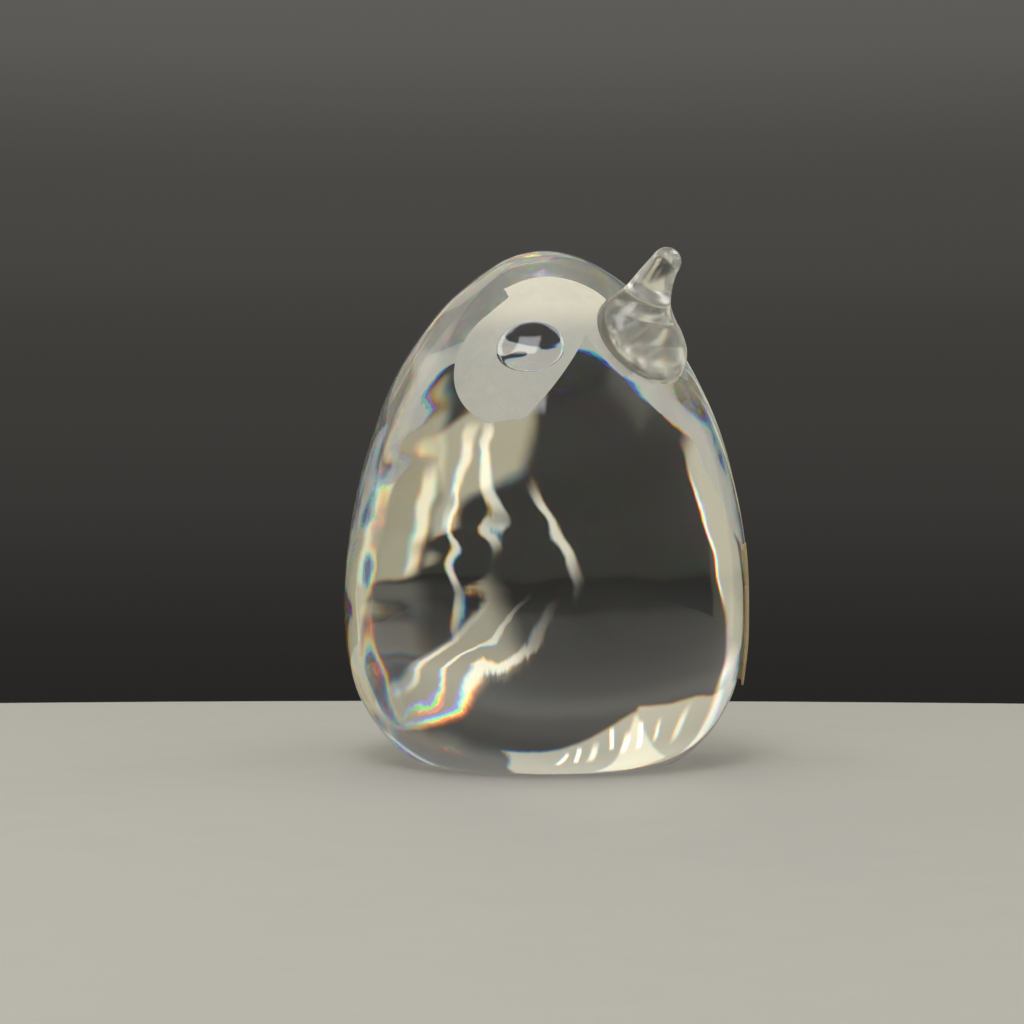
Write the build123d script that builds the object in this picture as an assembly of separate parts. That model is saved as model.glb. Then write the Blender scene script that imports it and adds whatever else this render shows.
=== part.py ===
"""Penguin figurine of solid crystal: egg-shaped body, applied beak, frosted face, blank sticker.

Millimetres, +Z up, the penguin looks along -Y, the origin is the centre of the flat foot.
Azimuths are measured from the beak, positive toward the penguin's right side.
"""
import os
from math import cos, radians, sin

from build123d import *

# Crystal body: an egg of revolution on a ground flat. The fullness shares shape its outline.
BODY_HEIGHT = 91.5
GIRTH_RADIUS = 36.1
GIRTH_Z = 28.8
FOOT_RADIUS = 23.2
FLANK_FULLNESS = 0.585
CROWN_FULLNESS = 0.434
BELLY_FULLNESS = 0.63
HEEL_FULLNESS = (0.45, 0.11)

# Eyes: olives cut into the head with a round-edged polishing wheel. EYE_SHARE is how far the eye
# lies along the outline from the girth to the crown.
EYE_SHARE = 0.589
EYE_AZIMUTH = 52.0
EYE_TILT = 6.0
EYE_DEPTH = 1.6
WHEEL_RADIUS = 18.4
WHEEL_EDGE = 11.0

# Frosted face: depth of the blasted skin, rise of the brow above the eye, and the outline as
# shares of that rise, x forward and y up the slope from the middle of the eye.
FROST_DEPTH = 0.3
BROW_RISE = 16.4
CHEEK = (-0.40, -0.88)
NAPE = (-0.81, -0.21)
TEMPLE = (-0.49, 0.475)
BROW_NOTCH = (-0.28, 0.685)
BROW_START = (-0.34, 0.83)
BROW_PEAK = (0.21, 1.0)
FOREHEAD = (0.77, 0.755)
COLLAR_FRONT = (1.04, -0.15)
COLLAR_END = (0.94, -0.22)
SLIT_FRONT = (0.685, 0.01)
SLIT_TOP = (0.555, 0.21)
LORE = (0.40, -0.21)
CHIN = (-0.02, -0.85)

# Beak: a pad of hot glass pressed on the head and drawn up into a horn with a round tip. The
# horn's spine is given as shares of its rise, forward and up from the middle of the pad.
BEAK_SHARE = 0.616
PAD_RADIUS = 9.2
PAD_THICKNESS = 5.6
PAD_SINK = 0.8
HORN_RISE = 12.8
HORN_FOOT = (-0.14, -0.03)
HORN_BEND = (0.055, 0.53)
HORN_TIP = (0.405, 1.0)
HORN_FOOT_SHARE = 0.76
HORN_TIP_RADIUS = 2.5
HORN_RINGS = 5
HORN_TAPER = 1.3

# Sticker: blank paper on the left flank; it follows the glass down to the girth, then stands off.
# LABEL_CLEARANCE is how far it would clear the edge of the foot if it hung down to the table.
LABEL_WIDTH = 18.0
LABEL_HEIGHT = 25.0
LABEL_CORNER = 1.5
LABEL_THICKNESS = 0.3
LABEL_DROP = 2.1
LABEL_AZIMUTH = -44.0
LABEL_TILT = 1.5
LABEL_CLEARANCE = 6.45


def upper_line(grow=0.0):
    """Outline of the egg from the girth to the crown, moved outward by grow."""
    radius = GIRTH_RADIUS + grow
    top = BODY_HEIGHT + grow
    shoulder = GIRTH_Z + FLANK_FULLNESS * (top - GIRTH_Z)
    return Bezier((radius, 0, GIRTH_Z), (radius, 0, shoulder), (CROWN_FULLNESS * radius, 0, top), (0, 0, top))


def lower_line(clearance=0.0, grow=0.0):
    """Outline of the egg from the table up to the girth, clear of the foot and moved outward by grow."""
    girth = GIRTH_RADIUS + grow
    fall = GIRTH_RADIUS - FOOT_RADIUS - clearance
    spread, lift = HEEL_FULLNESS
    heel = (girth - (1 - spread) * fall, 0, lift * GIRTH_Z)
    belly = (girth, 0, (1 - BELLY_FULLNESS) * GIRTH_Z)
    return Bezier((girth - fall, 0, 0), heel, belly, (girth, 0, GIRTH_Z))


def turned(*outline):
    """Solid of revolution between the upright axis and an outline that ends on it at the top."""
    bottom = outline[0] @ 0
    top = outline[-1] @ 1
    inside = Polyline(top, (0, 0, bottom.Z), bottom)
    return revolve(make_face([*outline, *inside.edges()]), Axis.Z)


def touching_plane(azimuth, share):
    """Plane touching the upper body, x level and toward the beak, z outward."""
    line = upper_line()
    place = line @ share
    along = line % share
    turn = radians(azimuth)
    forward = (cos(turn), -sin(turn), 0)
    outward = (-sin(turn) * along.Z, -cos(turn) * along.Z, -along.X)
    return Plane((-place.X * sin(turn), -place.X * cos(turn), place.Z), forward, outward)


def both_sides(shape):
    """The shape together with its mirror image on the other side of the head."""
    return [shape, shape.mirror(Plane.YZ)]


def inward_prism(plane, outline, depth):
    """Prism with an outline drawn in a touching plane, from as far outside the glass as it goes in."""
    return extrude(plane * outline, depth, dir=plane.z_dir, both=True)


def eye_wheel():
    """Polishing wheel in its deepest place on the right eye."""
    wheel = Torus(WHEEL_RADIUS - WHEEL_EDGE, WHEEL_EDGE)
    placing = Rot(0, 0, EYE_TILT) * Pos(0, 0, WHEEL_RADIUS - EYE_DEPTH) * Rot(90, 0, 0)
    return touching_plane(EYE_AZIMUTH, EYE_SHARE) * placing * wheel


def face_prism():
    """Prism through the right half of the frosted face."""
    with BuildSketch() as sketch:
        with BuildLine():
            ThreePointArc(CHEEK, NAPE, TEMPLE)
            Line(TEMPLE, BROW_NOTCH)
            Line(BROW_NOTCH, BROW_START)
            ThreePointArc(BROW_START, BROW_PEAK, FOREHEAD)
            Line(FOREHEAD, COLLAR_FRONT)
            Line(COLLAR_FRONT, COLLAR_END)
            Spline(COLLAR_END, SLIT_FRONT, SLIT_TOP)
            ThreePointArc(SLIT_TOP, LORE, CHIN)
            Line(CHIN, CHEEK)
        make_face()
    return inward_prism(touching_plane(EYE_AZIMUTH, EYE_SHARE), scale(sketch.sketch, BROW_RISE), BROW_RISE)


def beak_blank():
    """Pad and horn before the head is taken out of them."""
    pad_plane = touching_plane(0, BEAK_SHARE)
    with BuildSketch(Plane.XZ) as half:
        with BuildLine():
            arc = EllipticalCenterArc((0, 0), PAD_RADIUS, PAD_THICKNESS, -90, arc_size=180)
            Line(arc @ 1, arc @ 0)
        make_face()
    pad = pad_plane * Pos(0, 0, -PAD_SINK) * revolve(half.sketch, Axis.Z)
    middle = pad_plane.origin
    stations = [middle + Vector(0, -out, up) * HORN_RISE for out, up in (HORN_FOOT, HORN_BEND, HORN_TIP)]
    spine = ThreePointArc(*stations)
    flare = HORN_FOOT_SHARE * PAD_RADIUS - HORN_TIP_RADIUS
    rings = []
    for ring in range(HORN_RINGS):
        along = ring / (HORN_RINGS - 1)
        radius = HORN_TIP_RADIUS + flare * (1 - along) ** HORN_TAPER
        rings.append(Plane(spine @ along, (1, 0, 0), spine % along) * Circle(radius))
    horn = loft(rings) + Pos(spine @ 1) * Sphere(HORN_TIP_RADIUS)
    return pad + horn


def label_form(grow):
    """The flank as the paper follows it: close above the girth, standing off the belly below it."""
    return turned(lower_line(LABEL_CLEARANCE, grow), upper_line(grow))


def label_prism():
    """Prism with the outline of the sticker, through the left flank."""
    outline = RectangleRounded(LABEL_WIDTH, LABEL_HEIGHT, LABEL_CORNER)
    placed = Pos(0, -LABEL_DROP) * Rot(0, 0, LABEL_TILT) * outline
    return inward_prism(touching_plane(LABEL_AZIMUTH, 0), placed, LABEL_WIDTH / 2)


solid_egg = turned(lower_line(), upper_line())
eye_cuts = both_sides(eye_wheel())
beak_raw = beak_blank()
skin = turned(upper_line()) - turned(upper_line(-FROST_DEPTH)) - eye_cuts - beak_raw
frost_right, frost_left = [skin & prism for prism in both_sides(face_prism())]

pieces = {
    "body": solid_egg - eye_cuts - frost_right - frost_left,
    "beak": beak_raw - solid_egg,
    "frost_right": frost_right,
    "frost_left": frost_left,
    "label": (label_form(LABEL_THICKNESS) - label_form(0)) & label_prism(),
}

os.makedirs("parts", exist_ok=True)
for name, shape in pieces.items():
    print(name, len(shape.solids()), "solid(s)", round(shape.volume, 2), "mm3", shape.is_valid)
    export_step(shape, f"parts/{name}.step")
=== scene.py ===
"""Penguin figurine of solid crystal: clear egg body, applied beak, frosted face and a blank sticker."""

from functools import partial
from math import pi, radians
from types import SimpleNamespace

import bmesh
import bpy
import numpy as np
from bpy.props import FloatProperty, FloatVectorProperty, IntProperty, PointerProperty
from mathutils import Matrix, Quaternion, Vector


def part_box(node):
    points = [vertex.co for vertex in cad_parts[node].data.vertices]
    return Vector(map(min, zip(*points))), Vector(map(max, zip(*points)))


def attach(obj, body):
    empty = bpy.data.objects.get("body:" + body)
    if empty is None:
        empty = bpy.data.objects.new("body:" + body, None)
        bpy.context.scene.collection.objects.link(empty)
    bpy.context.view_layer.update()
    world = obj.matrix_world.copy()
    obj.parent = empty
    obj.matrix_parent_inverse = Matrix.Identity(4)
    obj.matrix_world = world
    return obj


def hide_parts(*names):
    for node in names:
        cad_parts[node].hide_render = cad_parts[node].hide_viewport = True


bl_info = {
    "name": "Crystal penguin",
    "version": (1, 0, 0),
    "blender": (4, 5, 0),
    "location": "3D View > Sidebar > Penguin",
    "description": "Dresses a solid crystal penguin figurine",
    "category": "Object",
}

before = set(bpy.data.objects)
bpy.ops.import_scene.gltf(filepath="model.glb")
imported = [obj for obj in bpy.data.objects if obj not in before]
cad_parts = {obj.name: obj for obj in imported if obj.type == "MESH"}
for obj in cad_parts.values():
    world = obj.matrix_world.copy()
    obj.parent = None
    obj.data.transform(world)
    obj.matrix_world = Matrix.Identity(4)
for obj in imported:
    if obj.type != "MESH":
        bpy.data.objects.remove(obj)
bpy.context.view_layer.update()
BODY_LOW, BODY_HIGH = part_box("body")

# Outline of the frosted face, x forward and y up the slope from the middle of the eye, as shares
# of the brow's rise. Each run is an arc through three points, or a straight run of two.
FACE_RUNS = (
    ((-0.40, -0.88), (-0.81, -0.21), (-0.49, 0.475)),
    ((-0.49, 0.475), (-0.28, 0.685)),
    ((-0.28, 0.685), (-0.34, 0.83)),
    ((-0.34, 0.83), (0.21, 1.0), (0.77, 0.755)),
    ((0.77, 0.755), (1.04, -0.15)),
    ((1.04, -0.15), (0.94, -0.22)),
    ((0.94, -0.22), (0.685, 0.01), (0.555, 0.21)),
    ((0.555, 0.21), (0.40, -0.21), (-0.02, -0.85)),
    ((-0.02, -0.85), (-0.40, -0.88)),
)

# How many points an arc and a straight run of that outline are drawn with.
ARC_POINTS = 40
LINE_POINTS = 6

# Spine of the beak's horn, forward and up from the middle of its pad, as shares of its rise.
HORN_SPINE = ((-0.14, -0.03), (0.055, 0.53), (0.405, 1.0))

# Width of the drawn-in ring, as a share of the horn's length.
GROOVE_WIDTH = 0.025

# Zones of the egg's skin.
CLEAR, FROST_RIGHT, FROST_LEFT, EYE, SEAT = range(5)

# How often a search between two places halves their distance.
HALVINGS = 40


def length(name, description, default):
    """A size in metres."""
    kind = {"min": 0.0, "precision": 5, "subtype": "DISTANCE", "unit": "LENGTH"}
    return FloatProperty(name=name, description=description, default=default, **kind)


def turn(name, description, degrees):
    """An angle, given in degrees."""
    kind = {"subtype": "ANGLE", "unit": "ROTATION"}
    return FloatProperty(name=name, description=description, default=radians(degrees), **kind)


def share(name, description, default):
    """A plain share of another size."""
    kind = {"min": 0.0, "max": 2.0, "subtype": "FACTOR"}
    return FloatProperty(name=name, description=description, default=default, **kind)


def tint(name, description, default):
    """A colour."""
    kind = {"size": 3, "min": 0.0, "max": 1.0, "subtype": "COLOR"}
    return FloatVectorProperty(name=name, description=description, default=default, **kind)


class PenguinBody(bpy.types.PropertyGroup):
    """Sizes of the crystal egg."""

    height: length("Height", "Height of the egg above its foot", BODY_HIGH[2])
    girth_radius: length("Girth radius", "Radius at the widest place", (BODY_HIGH[0] - BODY_LOW[0]) / 2)
    girth_height: length("Girth height", "Height of the widest place", 0.0288)
    foot_radius: length("Foot radius", "Radius of the ground flat", 0.0232)
    heel_round: length("Heel rounding", "Rounded edge of the ground flat", 0.0009)
    flank: share("Flank fullness", "How long the flank stays upright above the girth", 0.585)
    crown: share("Crown fullness", "How broad the crown is", 0.434)
    belly: share("Belly fullness", "How long the belly stays upright below the girth", 0.63)
    heel_spread: share("Heel spread", "How far the heel flares out", 0.45)
    heel_lift: share("Heel lift", "How high the heel rises", 0.11)
    ripple: length("Ripple", "Depth of the broad ripples left by hot working", 0.0006)
    ripple_size: length("Ripple size", "Distance between the broad ripples", 0.014)
    marks: length("Tool marks", "Depth of the finer marks on the wavy side", 0.0004)
    mark_size: length("Tool mark size", "Distance between the finer marks", 0.005)
    wavy_side: turn("Wavy side", "Turn of the side with tool marks from the beak", 185.0)
    calm: share("Calm", "Share of the broad ripples away from the wavy side", 0.4)
    seed: IntProperty(name="Seed", description="Seed of the ripples", default=7)
    glass: tint("Glass", "Tint of the clear crystal", (0.975, 0.985, 0.975))


class PenguinFace(bpy.types.PropertyGroup):
    """Sizes of the polished eyes and of the frosted face round them."""

    eye_share: share("Eye place", "How far up the outline from the girth the eye lies", 0.589)
    eye_azimuth: turn("Eye azimuth", "Turn of the eye away from the beak", 52.0)
    eye_tilt: turn("Eye tilt", "Tilt of the eye", 6.0)
    eye_depth: length("Eye depth", "Depth of the polished dish", 0.0016)
    eye_rim: length("Eye rim", "Rounding of the dish's polished rim", 0.0006)
    wheel_radius: length("Wheel radius", "Radius of the polishing wheel", 0.0184)
    wheel_edge: length("Wheel edge", "Rounding of the wheel's edge", 0.011)
    brow_rise: length("Brow rise", "Rise of the brow above the eye", 0.0164)
    frost_depth: length("Frost depth", "Depth of the blasted skin", 0.0003)
    # The two frost colours are painted light and painted shade on one blasted glass: a lit cream over the
    # brow and a shaded grey lower on the face.
    frost: tint("Frost", "Colour of the blasted glass over the brow", (0.95, 0.905, 0.73))
    cheek: tint("Cheek", "Colour of the blasted glass on the cheek", (0.60, 0.60, 0.53))


class PenguinBeak(bpy.types.PropertyGroup):
    """Sizes of the applied beak."""

    place: share("Beak place", "How far up the outline from the girth the pad lies", 0.616)
    pad_radius: length("Pad radius", "Radius of the pad pressed on the head", 0.0092)
    pad_thickness: length("Pad thickness", "Thickness of the pad", 0.0056)
    pad_sink: length("Pad sink", "How far the pad's middle lies in the head", 0.0008)
    horn_rise: length("Horn rise", "Rise of the horn above the pad", 0.0128)
    tip_radius: length("Tip radius", "Radius of the rounded tip", 0.0025)
    foot_share: share("Horn foot", "Radius of the horn's foot, as a share of the pad", 0.76)
    taper: share("Taper", "How quickly the horn thins", 1.3)
    blend: length("Blend", "How softly pad and horn flow together", 0.0026)
    groove: length("Groove", "Depth of the drawn-in ring at the horn's foot", 0.00016)
    groove_place: share("Groove place", "How far up the horn the ring lies", 0.30)
    haze: share("Haze", "Blur of the fire-polished beak", 0.19)


class PenguinSticker(bpy.types.PropertyGroup):
    """Sizes of the blank paper sticker."""

    width: length("Width", "Width of the paper", 0.018)
    height: length("Height", "Height of the paper", 0.025)
    corner: length("Corner", "Rounding of the corners", 0.0015)
    thickness: length("Thickness", "Thickness of the paper with its backing", 0.00022)
    wear: length("Wear", "Depth of the nicks in its edge", 0.00035)
    drop: length("Drop", "How far its middle lies under the girth", 0.0021)
    clearance: length("Clearance", "How far it would clear the foot if it hung to the table", 0.00645)
    azimuth: turn("Azimuth", "Turn from the beak to the left flank", -44.0)
    tilt: turn("Tilt", "Tilt of the paper", 1.5)
    paper: tint("Paper", "Colour of the aged paper", (0.62, 0.49, 0.28))
    stain: tint("Stain", "Colour of its stains and worn edge", (0.36, 0.25, 0.12))


class PenguinStage(bpy.types.PropertyGroup):
    """Floor, light and camera."""

    floor_radius: length("Floor radius", "Radius of the round floor", 1.0)
    floor_near: length("Floor nearer", "How far the floor's middle lies nearer to the camera", 0.875)
    floor: tint("Floor", "Colour of the floor", (0.52, 0.51, 0.48))
    camera_distance: length("Camera distance", "Distance of the camera from the axis", 0.4)
    camera_height: length("Camera height", "Height of the camera above the floor", 0.0446)
    camera_azimuth: turn("Camera azimuth", "Turn of the camera from the beak", 46.0)
    aside: length("Aside", "How far left of the axis the camera aims", 0.00612)
    lens: FloatProperty(name="Lens", description="Focal length in millimetres", default=78.1, unit="CAMERA")


# Outline of the egg.


def bezier(points, at):
    """Places on a cubic curve."""
    a, b, c, d = np.asarray(points, float)
    t = np.asarray(at, float)[..., None]
    s = 1 - t
    return s**3 * a + 3 * s**2 * t * b + 3 * s * t**2 * c + t**3 * d


def upper_points(body):
    """Control points, radius and height, from the girth to the crown."""
    radius, girth, top = body.girth_radius, body.girth_height, body.height
    shoulder = girth + body.flank * (top - girth)
    return ((radius, girth), (radius, shoulder), (body.crown * radius, top), (0.0, top))


def lower_points(body, clearance=0.0):
    """Control points, radius and height, from the table up to the girth."""
    radius, girth = body.girth_radius, body.girth_height
    fall = radius - body.foot_radius - clearance
    heel = (radius - (1 - body.heel_spread) * fall, body.heel_lift * girth)
    return ((radius - fall, 0.0), heel, (radius, (1 - body.belly) * girth), (radius, girth))


def radius_at(body, heights, clearance=0.0):
    """Radius of the outline at some heights."""
    steps = np.linspace(0, 1, 1500)
    lower, upper = bezier(lower_points(body, clearance), steps), bezier(upper_points(body), steps)
    line = np.vstack((lower, upper[1:]))
    return np.interp(heights, line[:, 1], line[:, 0])


def beyond_egg(body, places):
    """How far places lie outside the egg, level from its axis."""
    return np.hypot(places[..., 0], places[..., 1]) - radius_at(body, places[..., 2])


def touching_frame(body, azimuth, along):
    """Origin and forward, upward and outward directions of the plane touching the flank or head."""
    steps = np.linspace(0, 1, 4001)
    line = bezier(upper_points(body), steps)
    run = np.concatenate(([0.0], np.cumsum(np.hypot(*np.diff(line, axis=0).T))))
    at = np.interp(along * run[-1], run, steps)
    radius, height = bezier(upper_points(body), at)
    before, after = bezier(upper_points(body), (max(at - 1e-4, 0), min(at + 1e-4, 1)))
    slope = after - before
    inward, upward = slope / np.hypot(*slope)
    s, c = np.sin(azimuth), np.cos(azimuth)
    origin = np.array((-radius * s, -radius * c, height))
    forward = np.array((c, -s, 0.0))
    outward = np.array((-s * upward, -c * upward, -inward))
    return origin, np.array((forward, np.cross(outward, forward), outward))


MIRROR = np.array((-1.0, 1.0, 1.0))


# Worked places on the head.


def in_frame(placing, places):
    """Places in the coordinates of a touching plane."""
    origin, axes = placing
    return (places - origin) @ axes.T


def eye_frame(scene):
    """Plane that touches the head at the middle of the right eye."""
    face = scene.penguin_face
    return touching_frame(scene.penguin_body, face.eye_azimuth, face.eye_share)


def eye_local(scene, places):
    """Places in the coordinates of the right eye, x along its long side."""
    face = scene.penguin_face
    local = in_frame(eye_frame(scene), places)
    s, c = np.sin(face.eye_tilt), np.cos(face.eye_tilt)
    x, y, z = local.T
    return np.stack((c * x + s * y, c * y - s * x, z), axis=1)


def wheel_field(scene, places):
    """How far places lie outside the polishing wheel on the right eye."""
    face = scene.penguin_face
    x, y, z = eye_local(scene, places).T
    across = np.hypot(x, z - (face.wheel_radius - face.eye_depth))
    return np.hypot(across - (face.wheel_radius - face.wheel_edge), y) - face.wheel_edge


def dish_depth(scene, places):
    """How far the right eye's dish lies under places, along the eye's own axis."""
    face = scene.penguin_face
    x, y, z = eye_local(scene, places).T
    across = face.wheel_radius - face.wheel_edge + np.sqrt(np.maximum(face.wheel_edge**2 - y**2, 0))
    bottom = face.wheel_radius - face.eye_depth - np.sqrt(np.maximum(across**2 - x**2, 0))
    return bottom - z


def three_point_arc(first, middle, last, count):
    """Places on the arc through three places in a plane."""
    (ax, ay), (bx, by), (cx, cy) = first, middle, last
    d = 2 * (ax * (by - cy) + bx * (cy - ay) + cx * (ay - by))
    a2, b2, c2 = ax**2 + ay**2, bx**2 + by**2, cx**2 + cy**2
    across = a2 * (by - cy) + b2 * (cy - ay) + c2 * (ay - by)
    upward = a2 * (cx - bx) + b2 * (ax - cx) + c2 * (bx - ax)
    centre = np.array((across / d, upward / d))
    angles = np.unwrap([np.arctan2(*(np.subtract(p, centre))[::-1]) for p in (first, middle, last)])
    spread = np.linspace(angles[0], angles[2], count)
    radius = np.hypot(*np.subtract(first, centre))
    return centre + radius * np.stack((np.cos(spread), np.sin(spread)), axis=1), centre, angles, radius


def face_outline(scene):
    """Closed outline of the right half of the frosted face in the eye's touching plane."""
    runs = []
    for run in FACE_RUNS:
        arc = len(run) == 3
        places = three_point_arc(*run, ARC_POINTS)[0] if arc else np.linspace(*np.asarray(run), LINE_POINTS)
        runs.append(places[:-1])
    return np.vstack(runs) * scene.penguin_face.brow_rise


def outline_distance(outline, points):
    """Distance of points in a plane from a closed outline, negative inside it."""
    best = np.full(len(points), np.inf)
    inside = np.zeros(len(points), bool)
    for a, b in zip(outline, np.roll(outline, -1, axis=0)):
        run = b - a
        along = np.clip((points - a) @ run / (run @ run), 0, 1)
        best = np.minimum(best, np.hypot(*(points - a - along[:, None] * run).T))
        crosses = (a[1] > points[:, 1]) != (b[1] > points[:, 1])
        side = (points[:, 0] - a[0]) * run[1] - (points[:, 1] - a[1]) * run[0]
        inside ^= crosses & ((side < 0) == (run[1] > 0))
    return np.where(inside, -best, best)


def face_field(scene, places):
    """Distance of places from the outline of the right half of the frosted face."""
    face = scene.penguin_face
    local = in_frame(eye_frame(scene), places)
    distance = outline_distance(face_outline(scene), local[:, :2])
    return np.where(local[:, 2] > -face.brow_rise, distance, np.abs(distance) + face.brow_rise)


def horn_arc(scene):
    """Spine of the horn, forward and up, with its circle's centre, angles and radius."""
    return three_point_arc(*(np.array(HORN_SPINE) * scene.penguin_beak.horn_rise), 3)


def beak_field(scene, places):
    """How far places lie outside pad and horn, which flow softly together."""
    beak = scene.penguin_beak
    origin, axes = touching_frame(scene.penguin_body, 0.0, beak.place)
    local = (places - origin) @ axes.T + np.array((0, 0, beak.pad_sink))
    reach = np.array((beak.pad_radius, beak.pad_radius, beak.pad_thickness))
    near = np.linalg.norm(local / reach, axis=-1)
    pad = near * (near - 1) / np.maximum(np.linalg.norm(local / reach**2, axis=-1), 1e-9)
    _, centre, angles, bend = horn_arc(scene)
    flat = np.stack((origin[1] - places[..., 1], places[..., 2] - origin[2]), axis=-1) - centre
    sweep = np.arctan2(flat[..., 1], flat[..., 0])
    sweep = angles[0] + (sweep - angles[0] + pi) % (2 * pi) - pi
    along = np.clip((sweep - angles[0]) / (angles[2] - angles[0]), 0, 1)
    at = angles[0] + along * (angles[2] - angles[0])
    spine = bend * np.stack((np.cos(at), np.sin(at)), axis=-1)
    flare = beak.foot_share * beak.pad_radius - beak.tip_radius
    ring = np.exp(-(((along - beak.groove_place) / GROOVE_WIDTH) ** 2))
    thick = beak.tip_radius + flare * (1 - along) ** beak.taper - beak.groove * ring
    horn = np.sqrt(places[..., 0] ** 2 + ((flat - spine) ** 2).sum(axis=-1)) - thick
    mix = np.maximum(beak.blend - np.abs(pad - horn), 0) / beak.blend
    return np.minimum(pad, horn) - mix**2 * beak.blend / 4


def halved(holds, low, high):
    """Where a condition that holds at low stops holding on the way to high."""
    for _ in range(HALVINGS):
        middle = (low + high) / 2
        still = holds(middle)
        low, high = np.where(still, middle, low), np.where(still, high, middle)
    return (low + high) / 2


def gradient(field, places, step=2e-6):
    """Unit direction in which a field grows."""
    slope = [field(places + step * axis) - field(places - step * axis) for axis in np.eye(3)]
    slope = np.stack(slope, axis=-1)
    return slope / np.maximum(np.linalg.norm(slope, axis=-1, keepdims=True), 1e-12)


# Small helpers for node trees.


def feed(tree, node, ins):
    """Links or sets sockets of a node."""
    for key, value in ins.items():
        if isinstance(value, bpy.types.NodeSocket):
            tree.links.new(value, node.inputs[key])
        else:
            node.inputs[key].default_value = value


def put(tree, kind, ins=None, **settings):
    """A new node, with its settings, and its sockets linked or set."""
    made = tree.nodes.new(kind)
    for name, value in settings.items():
        setattr(made, name, value)
    feed(tree, made, ins or {})
    return made


def math(tree, operation, a, b=0.0, c=0.0):
    """Output of a math node."""
    return put(tree, "ShaderNodeMath", {0: a, 1: b, 2: c}, operation=operation).outputs[0]


def vector_math(tree, operation, a, b, result=0):
    """Output of a vector math node."""
    return put(tree, "ShaderNodeVectorMath", {0: a, 1: b}, operation=operation).outputs[result]


def remap(tree, value, low, high, smooth=False):
    """A value brought from its range to 0..1 and held there."""
    kind = "SMOOTHSTEP" if smooth else "LINEAR"
    return put(tree, "ShaderNodeMapRange", {0: value, 1: low, 2: high}, interpolation_type=kind).outputs[0]


def between(tree, at, a, b):
    """Place between two places."""
    ins = {0: at, 4: a, 5: b}
    return put(tree, "ShaderNodeMix", ins, data_type="VECTOR", clamp_factor=False).outputs[1]


def section(tree, radius, height):
    """A place in the egg's section."""
    return put(tree, "ShaderNodeCombineXYZ", {0: radius, 2: height}).outputs[0]


CURVE_POINTS = ("Start", "Start Handle", "End Handle", "End")


def sockets(tree, in_out, kind, *names):
    """Named sockets of one kind on a node tree."""
    for name in names:
        tree.interface.new_socket(name, in_out=in_out, socket_type=f"NodeSocket{kind}")


def curve_group():
    """Node group that gives a place on a cubic curve."""
    tree = bpy.data.node_groups.new("cubic_curve", "GeometryNodeTree")
    sockets(tree, "INPUT", "Vector", *CURVE_POINTS)
    sockets(tree, "INPUT", "Float", "At")
    sockets(tree, "OUTPUT", "Vector", "Place")
    given = tree.nodes.new("NodeGroupInput").outputs
    places = [given[name] for name in CURVE_POINTS]
    while len(places) > 1:
        places = [between(tree, given["At"], a, b) for a, b in zip(places, places[1:])]
    put(tree, "NodeGroupOutput", {"Place": places[0]})
    return tree


EGG_SIZES = (
    "height",
    *("girth_radius", "girth_height", "foot_radius", "heel_round"),
    *("flank", "crown", "belly", "heel_spread", "heel_lift"),
    *("ripple", "ripple_size", "marks", "mark_size", "wavy_side", "calm"),
)
EGG_INPUTS = {name.replace("_", " ").title(): name for name in EGG_SIZES}

# Faces round the egg, and rows of them on its flat, heel, belly and flank.
SIDES = 320
ROWS = (20, 8, 52, 120)

# Between these places tool marks and full ripples set in, as shares of the girth's radius; the
# middle of the wavy side is at -1.
MARKED_SIDE = (-0.70, -0.86)
RIPPLED_SIDE = (0.3, -0.4)

# Ripples fade in between these heights, and between these shares of the pad's radius from its seat.
STILL_FOOT = (0.001, 0.008)
STILL_SEAT = (1.1, 1.7)


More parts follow.
